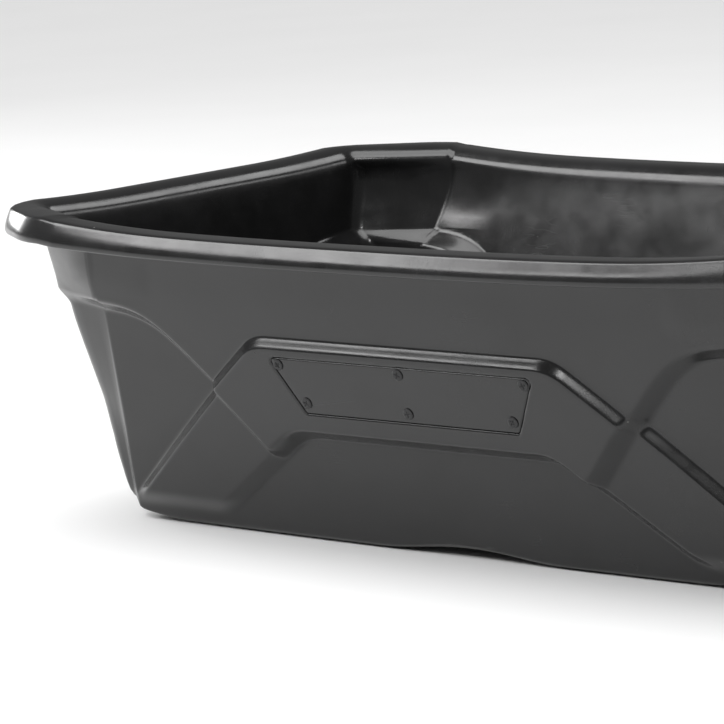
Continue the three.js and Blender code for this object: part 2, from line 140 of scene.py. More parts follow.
def cut_c(z):
    i = int(np.clip(np.searchsorted(CUT[:, 0], z) - 1, 0, len(CUT) - 2))
    t = float(np.clip((z - CUT[i, 0]) / (CUT[i + 1, 0] - CUT[i, 0]), 0, 1))
    return float(hermite(CUT[:, 0], CUT[:, 1], CUT_M, i, t))


# ---------------------------------------------------------------- the relief pressed into the walls, in level mm outwards
def arch_in(at, z):
    s = np.maximum(at, 0)
    root = np.hypot(s - 74, 28)
    edge = ARCH_Z - 0.565 * (s - 74 + root)
    slope = 0.565 * (1 + (s - 74) / root)
    return facet((edge - z) / np.hypot(1, slope) / 4.8)


def low(z):
    return ramp((z - 19) / 9)


def side_relief(u, z):
    a = np.abs(u)
    outer = soft_min(
        soft_min(161.6 - z + 0 * a, -(0.575 * (a - 137.2) + 0.818 * (z - 165.4)), 8),
        -(0.631 * (a - 199.2) + 0.775 * (z - 121.8)),
        6,
    )
    panel = facet(soft_min(88.9 - z + 0 * a, -(0.564 * (a - 119.5) + 0.826 * (z - 91.7)), 8) / 4.4)
    band = facet(outer / 4.2) * (1 - panel)
    arch = arch_in(327 - a, z) * (1 - panel)
    return lerp(-RECESS, BAND_H * band - RECESS * (arch + panel), low(z))


def end_relief(s, z):
    return -RECESS * lerp(1.0, arch_in(s, z), low(z))


# ---------------------------------------------------------------- the profile rings
def side_d(z):
    return OVERHANG + (228.7 - z) * SIDE_TAN


def rear_d(z):
    return REAR_OVERHANG + (228.7 - z) * REAR_TAN


def front_d(z):
    return FRONT_OVERHANG + (RIM_Z - 16 - z) * FRONT_TAN


def wall_ring(z):
    t = (z - 9.5) / 178.5
    zr, zf = lerp(34.0, 188.0, t), lerp(60.0, 188.0, t)
    return dict(
        side=(side_d(z), z),
        rear=(rear_d(zr), zr),
        front=(front_d(zf), zf),
        lift=0.8 * (1 - float(ramp((z - 16) / 8))),
        inset=WALL,
        relief=True,
        radius=16 + 12 * (1 - float(ramp((z - 30) / 30))),
    )


BOTTOM = [
    dict(side=(194, 0), rear=(163, 0), front=(270, 0), lift=FLOOR, inset=0, spine=True),
    dict(side=(203, 0), rear=(153, 0), front=(262, 0), lift=FLOOR, inset=0, radius=8),
    dict(side=(187, 0), rear=(140, 0), front=(254, 0), lift=FLOOR, inset=0, radius=14),
    dict(side=(122, 0), rear=(93.6, 0), front=(234, 0), lift=FLOOR, inset=0.6, radius=40),
    dict(side=(117.5, 1.3), rear=(72.6, 5), front=(179, 10), lift=3.5, inset=2, radius=36),
    dict(side=(114.5, 4.5), rear=(60, 16), front=(149, 30), lift=2.2, inset=3.4, radius=32),
]
for i_, r_ in enumerate(BOTTOM):
    r_["bottom"] = 1.0 if i_ < 4 else 0.8
Z_TOP = RIM_Z - 16
WALL_TOP = dict(
    side=(side_d(Z_TOP), Z_TOP),
    rear=(rear_d(Z_TOP), Z_TOP),
    front=(front_d(Z_TOP), Z_TOP),
    lift=0,
    inset=WALL,
    sag=1,
    wall=True,
    radius=18,
)
# The rim's under side and its upper side: distance in from its edge at the long sides, the rear and the front, then its
# height over RIM_Z at the long sides and at the ends. The outer face leans in, with a lip at its foot.
UNDER = [
    (31, 27.5, 28.5, -9.4, -9.4),
    (26, 22.5, 24, -5.2, -5.2),
    (11, 11, 11, -4.3, -4.0),
    (8.4, 8.4, 8.4, -6.4, -6.4),
    (4.5, 4.5, 4.5, -15.8, -15.8),
]
OVER = [
    (3.2, 3.2, 3.2, -17.2, -17.2),
    (1.0, 1.0, 1.0, -16.8, -16.8),
    (0, 0, 0, -14.6, -14.6),
    (3.9, 3.9, 3.9, -3.2, -2.8),
    (5.2, 5.2, 5.2, -0.8, -0.3),
    (7.6, 7.6, 7.6, 0.2, 0.9),
    (16, 14.5, 15, 0.5, 1.7),
    (22, 19.5, 20.5, 0.4, 1.5),
    (27.5, 24.5, 25.5, -0.7, -0.3),
    (32.5, 29.3, 30, -3.8, -3.4),
    (36, 33, 33.4, -8.8, -8.8),
]


def rim_ring(row):
    ds, dr, df, z, ze = row
    return dict(
        side=(ds, RIM_Z + z),
        rear=(dr, RIM_Z + ze),
        front=(df, RIM_Z + ze),
        sag=1,
        rim=True,
        rise=CORNER_RISE * min(max((z + 15) / 8, 0), 1),
        radius=54 - 1.25 * ds,
        side_radius=90 - 2.2 * ds,
    )


# Columns round half a ring: an end, a rounded corner, the chamfer, a rounded corner, the long side and the same back.
ARC = np.linspace(0, 1, 5)
CHAMFER_T = np.array([0.25, 0.5, 0.75])
END_T = np.concatenate([np.linspace(0, 0.2, 4, endpoint=False), np.linspace(0.2, 1, 50, endpoint=False)])
SIDE_T = np.concatenate(
    [
        np.linspace(0, 0.355, 126, endpoint=False),
        np.linspace(0.355, 0.645, 24, endpoint=False),
        np.linspace(0.645, 1, 127),
    ]
)[1:-1]


def corner_points(v, before, after, r):
    a, b = before - v, after - v
    la, lb = np.linalg.norm(a), np.linalg.norm(b)
    a, b = a / la, b / lb
    half = math.acos(float(np.clip(-(a @ b), -1, 1))) / 2
    t = min(r * math.tan(half), 0.48 * la, 0.48 * lb)
    w = math.cos(half)
    k = ARC[:, None]
    wa, wv, wb = (1 - k) ** 2, 2 * k * (1 - k) * w, k * k
    return ((v + a * t) * wa + v * wv + (v + b * t) * wb) / (wa + wv + wb)


def half_ring(r):
    """The near half of a ring, from the middle of the rear to the middle of the front: points, relief and kept columns."""
    ds, zs = r["side"]
    dr, zr = r["rear"]
    df, zf = r["front"]
    relief = r.get("relief", False)

    def in_corner(z):
        return float(end_relief(0.0, z)) if relief else 0.0

    rise = r.get("rise", 0.0)

    y, xr, xf = HALF_W - ds, REAR - dr, FRONT - df
    yc, xrc, xfc = y + in_corner(zs), xr + in_corner(zr), xf + in_corner(zf)
    if r.get("rim"):
        t = min(max(ds / 34, 0), 1)
        cx, cy = lerp(CH_X, 77, t), lerp(CH_Y, 38.5, t)
    else:
        zc = (zs + zr) / 2
        c = cut_c(zc)
        # on the long side the cut's edge runs straight down the wall, at the rear it stands further out over the arch
        edge = (c - CUT_N[1] * yc) / CUT_N[0]
        if relief:
            edge = float(soft_min(edge, 302.4 + 0.19 * (190 - zc), 8))
        cx = xrc - edge
        cy = yc - (c + REAR_CUT * float(ramp((zc - 186) / 8)) * (0 if r.get("bottom") else 1) - CUT_N[0] * xrc) / CUT_N[1]
        if relief:
            cx, cy = max(cx, 4.0), float(-soft_min(-cy, -3.0, 2))
        elif cx < 4 or cy < 2.5:
            cx, cy = 5.2, 2.5
        if y < 120:
            cx, cy = 6.0, 6.0
    V = lambda a, b: np.array([a, b], float)
    mid0, v2, v1 = V(-xrc, 0), V(-xrc, -(yc - cy)), V(-(xrc - cx), -yc)
    v8, v7, mid1 = V(xfc - cx, -yc), V(xfc, -(yc - cy)), V(xfc, 0)
    radius = r.get("radius", 26)
    side_radius = r.get("side_radius", radius)
    c2, c1 = corner_points(v2, mid0, v1, radius), corner_points(v1, v2, v8, side_radius)
    c8, c7 = corner_points(v8, v1, v7, side_radius), corner_points(v7, v8, mid1, radius)
    zrc, zfc = (zs + zr) / 2, (zs + zf) / 2
    unit = lambda n: np.array(n, float) / math.hypot(*n)
    ch_r, ch_f = unit([-cy, -cx]), unit([cy, -cx])
    xy, nrm, zz, rel, side, keep, away = [], [], [], [], [], [], []

    def add(p, n, z, re, is_side, kept, far=0.0):
        k = len(p)
        xy.append(p)
        nrm.append(np.broadcast_to(np.asarray(n, float), (k, 2)))
        zz.append(np.broadcast_to(np.asarray(z, float), (k,)))
        rel.append(np.broadcast_to(np.asarray(re, float), (k,)))
        side.append(np.full(k, is_side))
        keep.append(kept)
        away.append(np.broadcast_to(np.asarray(far, float), (k,)))

    def arc(pts, n0, n1, z0, z1, side_at):
        k = ARC[:, None]
        add(pts, lerp(np.array(n0, float), np.array(n1, float), k), lerp(z0, z1, ARC), 0.0, False, np.ones(5, bool))
        side[-1] = (ARC == side_at) if side_at is not None else np.zeros(5, bool)

    py = END_T * c2[0, 1]
    re = end_relief(yc - cy + py, zr) if relief else 0 * py
    add(np.stack([-(xr + re), py], 1), (-1, 0), zr, re, False, np.arange(len(py)) % 2 == 0, (py - c2[0, 1]) / 95)
    arc(c2, (-1, 0), ch_r, zr, zrc, None)
    k = CHAMFER_T[:, None]
    add(c2[-1] * (1 - k) + c1[0] * k, ch_r, zrc, 0.0, False, np.array([False, True, False]))
    arc(c1, ch_r, (0, -1), zrc, zs, 1.0)
    x = lerp(c1[-1, 0], c8[0, 0], SIDE_T)
    s = np.clip((x - 11) / 350, -1, 1)
    bow = BOW * min(max(1 - ds / 34, 0), 1) + KEEL_BOW * min(max((ds - 77) / 37, 0), 1)
    re = side_relief(x, zs) if relief else 0 * x
    add(np.stack([x, -(y + re) - bow * (1 - s * s)], 1), (0, -1), zs, re, True, np.arange(1, len(x) + 1) % 2 == 0, np.minimum(x - x[0], x[-1] - x) / 115)
    arc(c8, (0, -1), ch_f, zs, zfc, 0.0)
    add(c8[-1] * (1 - k) + c7[0] * k, ch_f, zfc, 0.0, False, np.array([False, True, False]))
    arc(c7, ch_f, (1, 0), zfc, zf, None)
    py = lerp(0.0, c7[-1, 1], END_T[::-1])
    re = end_relief(yc - cy + py, zf) if relief else 0 * py
    add(np.stack([xf + re, py], 1), (1, 0), zf, re, False, np.arange(len(py))[::-1] % 2 == 0, (py - c7[-1, 1]) / 95)

    xy, nrm, zz = np.concatenate(xy), np.concatenate(nrm), np.concatenate(zz).copy()
    rel, side, keep = np.concatenate(rel), np.concatenate(side), np.concatenate(keep)
    zz += rise * (1 - np.clip(np.concatenate(away), 0, 1)) ** 2
    nrm = nrm / np.linalg.norm(nrm, axis=1)[:, None]
    P = np.column_stack([xy, zz])
    if r.get("spine"):
        P[:, 1] = 0
    edge = np.where(side, np.minimum(1, np.abs((P[:, 0] - 10) / 335) ** 3), 1.0)
    drop = RIM_SAG * (1 - edge) * r.get("sag", 0)
    P[:, 2] -= drop
    if r.get("wall"):
        P[:, 1] += drop * SIDE_TAN
    if r.get("bottom"):
        channel = CHANNEL_H * ramp((CHANNEL_Y - np.abs(P[:, 1])) / 8)
        n = np.clip((P[:, 0] - 8) / 85, -1, 1)
        notch = np.where(side, NOTCH_H * (1 - n * n) ** 2, 0.0)
        P[:, 2] += np.maximum(channel, notch) * r["bottom"] * (1 - np.clip(P[:, 2] / 34, 0, 1))
    P[:, :2] -= nrm * r.get("in", 0)
    P[:, 2] += r.get("up", 0)
    if r.get("spine"):
        P[:, 1] = 0
    return P, rel, keep


def inner(r):
    return {**r, "in": r["inset"], "up": r["lift"]}


def refined(keys, counts, first, last):
    """Rings along a smooth curve through the key rings, from key number first to key number last."""
    P = np.array([half_ring(k)[0] for k in keys])
    seg = np.linalg.norm(np.diff(P, axis=0), axis=2).mean(1)
    s = np.concatenate([[0], np.cumsum(np.maximum(seg, 0.05))])
    m = pchip_slopes(s, P)
    out = []
    for i in range(first, last):
        for j in range(counts[i]):
            out.append(hermite(s, P, m, i, j / counts[i]))
    out.append(P[last])
    return out


def hull_arrays():
    """Vertices (mm) and triangles of the whole moulded sheet, closed, faces outwards."""
    rows_out = [9.5, 11.7] + list(np.arange(14.0, 187.0, 1.9)) + [188.0]
    rows_in = [9.5, 12.5] + list(np.arange(16.0, 146.0, 4.2)) + list(np.arange(147.0, 187.0, 2.1)) + [188.0]
    w0, w1 = wall_ring(9.5), wall_ring(188.0)
    rings = []  # (points, relief or None, fine?)

    def put(points, fine=False, rel=None):
        rings.append((points, rel, fine))

    keys = BOTTOM + [w0, wall_ring(26.0)]
    for p in refined(keys, [2, 4, 3, 3, 3, 3, 1], 0, 6)[:-1]:
        put(p)
    for z in rows_out:
        p, rel, _ = half_ring(wall_ring(z))
        put(p, True, rel)
    rim = [rim_ring(u) for u in UNDER] + [rim_ring(o) for o in OVER]
    keys = [wall_ring(170.5), w1, WALL_TOP] + rim + [inner(WALL_TOP), inner(w1), inner(wall_ring(170.5))]
    counts = [1, 5, 4, 2, 2, 2, 2, 3, 2, 3, 4, 3, 3, 3, 2, 2, 3, 3, 3, 5, 1]
    for p in refined(keys, counts, 1, len(keys) - 2)[1:-1]:
        put(p)
    for z in rows_in[::-1]:
        p, rel, _ = half_ring(inner(wall_ring(z)))
        put(p, False, rel)
    keys = [inner(wall_ring(26.0)), inner(w0)] + [inner(r) for r in BOTTOM[::-1]]
    for p in refined(keys, [1, 3, 3, 3, 3, 3, 2], 1, len(keys) - 1)[1:]:
        put(p)

    keep_half = half_ring(w0)[2]
    nh = len(keep_half)
    mirror = np.arange(1, nh - 1)[::-1]
    keep = np.concatenate([keep_half, keep_half[mirror]])
    verts, index, rels = [], [], []
    base = 0
    for p, rel, fine in rings:
        full = np.concatenate([p, p[mirror] * [1, -1, 1]])
        r = None if rel is None else np.concatenate([rel, rel[mirror]])
        mask = np.ones(len(full), bool) if fine else keep
        where = np.full(len(full), -1)
        where[mask] = base + np.arange(mask.sum())
        base += mask.sum()
        verts.append(full[mask])
        rels.append(np.zeros(mask.sum()) if r is None else r[mask])
        index.append(where)
    verts, rels = np.concatenate(verts), np.concatenate(rels)
    tris = []
    for a, b in zip(index[:-1], index[1:]):
        ka, kb = a >= 0, b >= 0
        if (ka == kb).all():
            ia, ib = a[ka], b[kb]
            a0, a1, b0, b1 = ia, np.roll(ia, -1), ib, np.roll(ib, -1)
            # the diagonal runs along the relief rather than across it
            along = np.abs(rels[a0] - rels[b1]) <= np.abs(rels[a1] - rels[b0])
            one = np.where(along[:, None], np.stack([a0, a1, b1], 1), np.stack([a0, a1, b0], 1))
            two = np.where(along[:, None], np.stack([a0, b1, b0], 1), np.stack([a1, b1, b0], 1))
            tris += [one, two]
            continue
        both = np.flatnonzero(ka & kb)
        n = len(a)
        rows = []
        for i, k in zip(both, np.append(both[1:], both[0] + n)):
            span = np.arange(i, k + 1) % n
            lo, up = a[span][a[span] >= 0], b[span][b[span] >= 0]
            rows += [(lo[m], lo[m + 1], up[0]) for m in range(len(lo) - 1)]
            rows += [(lo[-1], up[m + 1], up[m]) for m in range(len(up) - 1)]
        tris.append(np.array(rows))
    tris = np.concatenate(tris)
    verts[:, 0] += SHIFT_X
    # points that coincide, as along the spine of the bottom, become one
    _, first, inverse = np.unique(np.round(verts / 2e-4).astype(np.int64), axis=0, return_index=True, return_inverse=True)
    inverse = inverse.reshape(-1)
    verts, tris = verts[first], inverse[tris]
    good = (tris[:, 0] != tris[:, 1]) & (tris[:, 1] != tris[:, 2]) & (tris[:, 0] != tris[:, 2])
    return verts, tris[good]


def new_mesh(name, verts, faces, scale=MM):
    """A mesh object from points in millimetres, with smooth faces."""
    me = bpy.data.meshes.new(name)
    me.from_pydata((np.asarray(verts, float) * scale).tolist(), [], [list(map(int, f)) for f in faces])
    me.validate()
    me.shade_smooth()
    ob = bpy.data.objects.new(name, me)
    bpy.context.scene.collection.objects.link(ob)
    return ob


# ---------------------------------------------------------------- frames on the walls
A_SIDE = math.atan(SIDE_TAN)
A_FRONT = math.atan(FRONT_TAN)
PLATE_Z = (PLATE["z0"] + PLATE["z1"]) / 2
PLATE_HALF = (PLATE["z1"] - PLATE["z0"]) / 2 / math.cos(A_SIDE)
PLATE_FACE = -PLATE["pocket"] + 0.3 + PLATE["thick"]
FRONT_WALL = WALL * math.cos(A_FRONT)


def basis(x, y, z, at):
    m = Matrix.Identity(4)
    for c, v in enumerate((x, y, z, at)):
        for k in range(3):
            m[k][c] = v[k]
    return m


def face_frame(sign):
    """Local X along the long wall, Y up it and Z out of it, from the middle of the plate's place on the band."""
    y = -(HALF_W - side_d(PLATE_Z) + BAND_H)
    m = basis(
        (1, 0, 0),
        (0, -math.sin(A_SIDE), math.cos(A_SIDE)),
        (0, -math.cos(A_SIDE), -math.sin(A_SIDE)),
        (SHIFT_X, y, PLATE_Z),
    )
    if sign > 0:
        m = Matrix.Translation((2 * SHIFT_X, 0, 0)) @ Matrix.Rotation(math.pi, 4, "Z") @ m
    return m


def tow_frame(y):
    x = FRONT - front_d(EYELET["z"])
    return basis(
        (0, 1, 0),
        (math.sin(A_FRONT), 0, math.cos(A_FRONT)),
        (math.cos(A_FRONT), 0, -math.sin(A_FRONT)),
        (x + SHIFT_X, y, EYELET["z"]),
    )


def on_plate(s):
    return s[0], (s[1] - PLATE_Z) / math.cos(A_SIDE)


def placed(verts, m):
    v = np.asarray(verts, float)
    a = np.array(m)
    return v @ a[:3, :3].T + a[:3, 3]


def plate_outline(grow, corner, n=7):
    """The plate's outline, a trapezium with rounded corners, anticlockwise, grown by so much."""
    slope = (PLATE["top"] - PLATE["bottom"]) / (2 * PLATE_HALF)
    side = grow * math.hypot(1, slope)
    h = PLATE_HALF + grow
    t, b = PLATE["top"] + side + grow * slope, PLATE["bottom"] + side - grow * slope
    pts = np.array([(-b, -h), (b, -h), (t, h), (-t, h)], float)
    out = []
    for i, p in enumerate(pts):
        q, r = pts[i - 1], pts[(i + 1) % 4]
        u, w = (q - p) / np.linalg.norm(q - p), (r - p) / np.linalg.norm(r - p)
        half = math.acos(float(np.clip(u @ w, -1, 1))) / 2
        reach = corner / math.tan(half)
        centre = p + (u + w) / np.linalg.norm(u + w) * corner / math.sin(half)
        a, c = p + u * reach - centre, p + w * reach - centre
        for k in np.linspace(0, 1, n):
            ang = math.atan2(a[1], a[0])
            turn = (math.atan2(c[1], c[0]) - ang + math.pi) % (2 * math.pi) - math.pi
            out.append(centre + corner * np.array([math.cos(ang + k * turn), math.sin(ang + k * turn)]))
    # points along the straight sides as well, so that every outline of the plate has the same number
    full = []
    for i, p in enumerate(out):
        full.append(p)
        if i % n == n - 1:
            q = out[(i + 1) % len(out)]
            k = 24 if (i // n) % 2 == 0 else 6
            full += [p + (q - p) * j / k for j in range(1, k)]
    return np.array(full)


def stack(outlines):
    """Closed mesh from outlines (k, n, 3) that lie one above the other, with flat ends filled by fans from their middles."""
    k, n = len(outlines), len(outlines[0])
    verts = np.concatenate([np.concatenate(outlines), [outlines[0].mean(0)], [outlines[-1].mean(0)]])
    faces = []
    for j in range(k - 1):
        for i in range(n):
            a, b = j * n + i, j * n + (i + 1) % n
            faces.append((a, b, b + n, a + n))
    faces += [((i + 1) % n, i, k * n) for i in range(n)]
    faces += [((k - 1) * n + i, (k - 1) * n + (i + 1) % n, k * n + 1) for i in range(n)]
    return verts, faces


def lathe(profile, n, closed):
    """A profile of (radius, height) turned about Z. A closed profile is a ring's section, an open one starts and ends on the axis."""
    prof = list(profile)
    ang = np.linspace(0, 2 * math.pi, n, endpoint=False)
    verts, faces = [], []
    if closed:
        for r, z in prof:
            verts += [(r * math.cos(a), r * math.sin(a), z) for a in ang]
        k = len(prof)
        for j in range(k):
            for i in range(n):
                a, b = j * n + i, j * n + (i + 1) % n
                c, d = ((j + 1) % k) * n + (i + 1) % n, ((j + 1) % k) * n + i
                faces.append((a, b, c, d))
        return np.array(verts), faces
    body = prof[1:-1]
    for r, z in body:
        verts += [(r * math.cos(a), r * math.sin(a), z) for a in ang]
    k = len(body)
    for j in range(k - 1):
        for i in range(n):
            a, b = j * n + i, j * n + (i + 1) % n
            faces.append((a, b, b + n, a + n))
    verts += [(0, 0, prof[0][1]), (0, 0, prof[-1][1])]
    faces += [((i + 1) % n, i, k * n) for i in range(n)]
    faces += [((k - 1) * n + i, (k - 1) * n + (i + 1) % n, k * n + 1) for i in range(n)]
    return np.array(verts), faces


def rounded(profile, radius, n=4):
    """A closed profile with its corners rounded; radius is one number, or one for each corner."""
    pts = [np.array(p, float) for p in profile]
    radii = radius if hasattr(radius, "__len__") else [radius] * len(pts)
    out = []
    for i, p in enumerate(pts):
        if radii[i] <= 0:
            out.append(tuple(p))
            continue
        q, r = pts[i - 1], pts[(i + 1) % len(pts)]
        u, w = q - p, r - p
        lu, lw = np.linalg.norm(u), np.linalg.norm(w)
        t = min(radii[i], 0.48 * lu, 0.48 * lw)
        a, b = p + u / lu * t, p + w / lw * t
        for k in np.linspace(0, 1, n):
            out.append(tuple((1 - k) ** 2 * a + 2 * k * (1 - k) * p + k * k * b))
    return out


def cut(target, cutters):
    """Takes the cutters' shapes out of the target's mesh, and removes the cutters."""
    bm = bmesh.new()
    for verts, faces, m in cutters:
        vs = [bm.verts.new(v) for v in (placed(verts, m) * MM).tolist()]
        for f in faces:
            bm.faces.new([vs[i] for i in f])
    me = bpy.data.meshes.new("cutter")
    bmesh.ops.recalc_face_normals(bm, faces=bm.faces)
    bm.to_mesh(me)
    bm.free()
    tool = bpy.data.objects.new("cutter", me)
    bpy.context.scene.collection.objects.link(tool)
    mod = target.modifiers.new("cut", "BOOLEAN")
    mod.operation, mod.object = "DIFFERENCE", tool
    try:
        mod.solver = "MANIFOLD"
    except TypeError:
        mod.solver = "EXACT"
    dg = bpy.context.evaluated_depsgraph_get()
    made = bpy.data.meshes.new_from_object(target.evaluated_get(dg))
    if len(made.polygons) < len(target.data.polygons) * 0.5:
        mod.solver = "EXACT"
        dg = bpy.context.evaluated_depsgraph_get()
        made = bpy.data.meshes.new_from_object(target.evaluated_get(dg))
    target.modifiers.clear()
    target.data = made
    bpy.data.objects.remove(tool)
    bpy.data.meshes.remove(me)


# ---------------------------------------------------------------- the hull
verts, tris = hull_arrays()
hull = new_mesh("hull_shell", verts, tris)
pocket_cut, hole_cut, eye_cut = [], [], []
for sign in (-1, 1):
    m = face_frame(sign)
    depth = PLATE["pocket"]
    levels = [(-depth, 0.38), (-0.95, 0.4), (-0.8, 0.48), (-0.62, 0.7), (-0.2, 1.45), (-0.06, 1.85), (0.0, 2.4), (0.2, 4.2), (3.0, 9.0)]
    shape = [np.column_stack([plate_outline(g, 3.5 + g), np.full(len(plate_outline(g, 3.5 + g)), z)]) for z, g in levels]
    pocket_cut.append((*stack(shape), m))
    for s in SCREWS:
        x, y = on_plate(s)
        v, f = lathe([(0, -12), (SCREW["holeR"], -12), (SCREW["holeR"], 6), (0, 6)], 24, False)
        hole_cut.append((v + [x, y, 0], f, m))
for y in (-EYELET["y"], EYELET["y"]):
    v, f = lathe([(0, -14), (EYELET["hole"], -14), (EYELET["hole"], 14), (0, 14)], 48, False)
    eye_cut.append((v, f, tow_frame(y)))
before = len(hull.data.polygons)
cut(hull, pocket_cut + eye_cut)
cut(hull, hole_cut)
print("hull faces", before, "->", len(hull.data.polygons))


def sharpen(ob, angle):
    """Edges between faces that meet at more than the angle stay sharp in the shading."""
    me = ob.data
    me.shade_smooth()
    bm = bmesh.new()
    bm.from_mesh(me)
    limit = math.radians(angle)
    for e in bm.edges:
        e.smooth = not (len(e.link_faces) == 2 and e.calc_face_angle(0) > limit)
    bm.to_mesh(me)
    bm.free()


sharpen(hull, 52)

# ---------------------------------------------------------------- plates, screws, eyelets and washers
pieces = {"hull": [hull], "plate": [], "screw": [], "eyelet": [], "washer": []}


def plate_mesh():
    low_z, top = -PLATE["pocket"] + 0.3, PLATE_FACE
    levels = [
        (low_z, -0.25),
        (low_z + 0.2, 0.0),
        (top - 0.85, 0.0),
        (top - 0.72, -0.08),
        (top - 0.14, -0.72),
        (top - 0.03, -1.0),
        (top, -1.5),
        (top, -6.0),
    ]
    shape = [np.column_stack([plate_outline(g, max(3 + g, 0.4)), np.full(len(plate_outline(g, max(3 + g, 0.4))), z)]) for z, g in levels]
    return stack(shape)


PLATE_V, PLATE_F = plate_mesh()


def screw_mesh():
    """A pan head with a worn cross recess; its shank runs through the plate and the wall."""
    z0, r, h = PLATE_FACE + 0.15, SCREW["headR"], SCREW["headH"]
    foot = -PLATE["pocket"] - 3.9
    n = 48
    profile = [
        (SCREW["shankR"] - 0.5, foot),
        (SCREW["shankR"], foot + 0.6),
        (SCREW["shankR"], z0),
        (r - 0.15, z0),
        (r, z0 + 0.12),
        (r, z0 + 0.4 * h),
        (r * 0.985, z0 + 0.58 * h),
        (r * 0.94, z0 + 0.75 * h),
        (r * 0.86, z0 + 0.88 * h),
        (r * 0.76, z0 + 0.96 * h),
    ]
    inner_r = [0.66, 0.57, 0.48, 0.39, 0.30, 0.21, 0.12]
    ang = np.linspace(0, 2 * math.pi, n, endpoint=False) + 0.5
    rows = [[(q * math.cos(a), q * math.sin(a), z) for a in ang] for q, z in profile]

    def top(q, a):
        x, y = q * math.cos(a - 0.5), q * math.sin(a - 0.5)
        w = min(abs(x), abs(y))
        length = max(abs(x), abs(y))
        slot = float(ramp((0.52 - w) / 0.28)) * float(ramp((2.5 - length) / 0.5))
        return z0 + h * (1 - 0.05 * (q / r) ** 2) - 0.85 * slot

    rows += [[(k * r * math.cos(a), k * r * math.sin(a), top(k * r, a)) for a in ang] for k in inner_r]
    verts = np.array([p for row in rows for p in row] + [(0, 0, foot), (0, 0, z0 + h - 0.85)])
    k = len(rows)
    faces = [(j * n + i, j * n + (i + 1) % n, (j + 1) * n + (i + 1) % n, (j + 1) * n + i) for j in range(k - 1) for i in range(n)]
    faces += [((i + 1) % n, i, k * n) for i in range(n)]
    faces += [((k - 1) * n + i, (k - 1) * n + (i + 1) % n, k * n + 1) for i in range(n)]
    return verts, faces


SCREW_V, SCREW_F = screw_mesh()
for side, sign in (("near", -1), ("far", 1)):
    m = face_frame(sign)
    plate = new_mesh(f"plate_{side}", placed(PLATE_V, m), PLATE_F)
    holes = []
    for s in SCREWS:
        x, y = on_plate(s)
        v, f = lathe([(0, -6), (SCREW["holeR"], -6), (SCREW["holeR"], 6), (0, 6)], 24, False)
        holes.append((v + [x, y, 0], f, m))
    cut(plate, holes)
    sharpen(plate, 40)
    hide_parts(f"badge_plate_{side}")
    pieces["plate"].append(plate)
    for i, s in enumerate(SCREWS):
        x, y = on_plate(s)
        turn = Matrix.Translation((x, y, 0)) @ Matrix.Rotation(0.7 * i + (0.4 if sign > 0 else 0), 4, "Z")
        screw = new_mesh(f"screw_{side}_{i + 1}", placed(SCREW_V, m @ turn), SCREW_F)
        sharpen(screw, 50)
        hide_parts(f"plate_screw_{side}_{i + 1}")
        pieces["screw"].append(screw)

e, g = EYELET, 0.3
back = -FRONT_WALL - g - e["washerH"]
EYE = rounded(
    [
        (e["bore"], back - 0.6),
        (e["barrel"], back - 0.6),
        (e["barrel"], g),
        (e["flangeR"], g),
        (e["flangeR"], g + 0.6),
        (e["flangeR"] - 1.2, g + e["flangeH"]),
        (e["bore"] + 1.2, g + e["flangeH"]),
        (e["bore"], g + e["flangeH"] - 1),
    ],
    [0.5, 0.5, 0, 0.2, 0.5, 0.6, 0.8, 0.8],
    5,
)
z = -FRONT_WALL - 0.3
WASHER = rounded(
    [
        (e["barrel"] + 0.3, z - e["washerH"]),
        (e["flangeR"] - 1.4, z - e["washerH"]),
        (e["flangeR"] - 0.8, z - e["washerH"] + 0.4),
        (e["flangeR"] - 0.8, z),
        (e["barrel"] + 0.3, z),
    ],
    [0.2, 0.3, 0.3, 0.2, 0.2],
    4,
)
for side, y in (("near", -e["y"]), ("far", e["y"])):
    for kind, prof, node in (("eyelet", EYE, f"tow_eyelet_{side}"), ("washer", WASHER, f"eyelet_washer_{side}")):
        v, f = lathe(prof, 64, True)
        ob = new_mesh(f"{kind}_{side}", placed(v, tow_frame(y)), f)
        bm = bmesh.new()
        bm.from_mesh(ob.data)
        bmesh.ops.recalc_face_normals(bm, faces=bm.faces)
        bm.to_mesh(ob.data)
        bm.free()
        sharpen(ob, 50)
        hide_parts(node)
        pieces[kind].append(ob)
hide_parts("hull")


